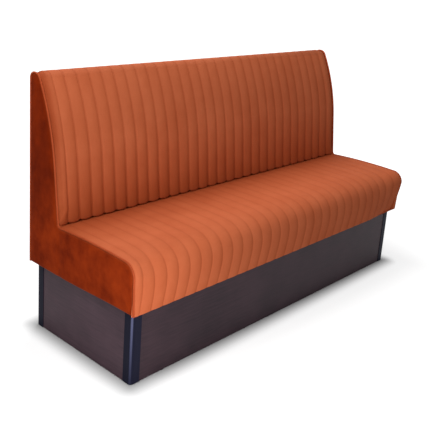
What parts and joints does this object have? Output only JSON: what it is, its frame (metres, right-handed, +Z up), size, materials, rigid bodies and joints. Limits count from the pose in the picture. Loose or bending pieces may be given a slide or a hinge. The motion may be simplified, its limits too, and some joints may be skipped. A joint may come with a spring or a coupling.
{
  "type": "restaurant booth bench",
  "caption": "Straight free-standing booth bench with a fluted velvet seat and tall curved back, plain side panels, piped edges and a recessed dark wood plinth.",
  "frame": {"origin": "on the floor, under the middle of the bench", "axes": "+X along the bench, -Y towards the front of the seat, +Z up"},
  "size_m": [1.8, 0.6148, 1.0349],
  "materials": {
    "dark_wood": "dark wenge-stained board with a fine horizontal grain, satin",
    "black_profile": "black anodised extrusion, semi-gloss",
    "softwood": "planed softwood, bare",
    "plywood": "birch plywood, bare",
    "hardboard": "hardboard, smooth face outwards",
    "zinc_steel": "zinc-plated steel",
    "glide_plastic": "dark nylon, matt",
    "foam": "upholstery foam",
    "fluted_velvet": "terracotta short-pile velvet, sewn into vertical channels",
    "plain_velvet": "terracotta short-pile velvet, plain and padded",
    "welt_velvet": "self-piped velvet welt",
    "lining": "thin non-woven lining, black"
  },
  "bodies": {
    "root": {"plinth_front_panel": "dark_wood", "plinth_rear_panel": "dark_wood", "plinth_left_panel": "dark_wood", "plinth_right_panel": "dark_wood", "corner_profile_front_left": "black_profile", "corner_profile_front_right": "black_profile", "corner_profile_rear_left": "black_profile", "corner_profile_rear_right": "black_profile", "plinth_front_batten": "softwood", "plinth_rear_batten": "softwood", "plinth_bearer_left": "plywood", "plinth_bearer_middle": "plywood", "plinth_bearer_right": "plywood", "plinth_screws": "zinc_steel", "floor_glides": "glide_plastic", "joining_bolts": "zinc_steel", "joining_washers": "zinc_steel", "joining_nuts": "zinc_steel", "rib_left": "plywood", "rib_middle": "plywood", "rib_right": "plywood", "base_slat_left": "plywood", "base_slat_middle": "plywood", "base_slat_right": "plywood", "end_frame_left": "plywood", "end_frame_right": "plywood", "seat_front_rail": "plywood", "base_rear_rail": "plywood", "back_middle_rail": "plywood", "back_top_rail": "plywood", "seat_deck": "plywood", "tuck_rail": "plywood", "back_board": "plywood", "rear_panel": "hardboard", "frame_screws": "zinc_steel", "seat_foam": "foam", "front_foam": "foam", "back_foam": "foam", "seat_cover": "fluted_velvet", "back_cover": "fluted_velvet", "side_padding_left": "foam", "side_padding_right": "foam", "side_cover_left": "plain_velvet", "side_cover_right": "plain_velvet", "edge_welt_left": "welt_velvet", "edge_welt_right": "welt_velvet", "rear_cover": "plain_velvet", "dust_cover": "lining"}
  },
  "joints": []
}
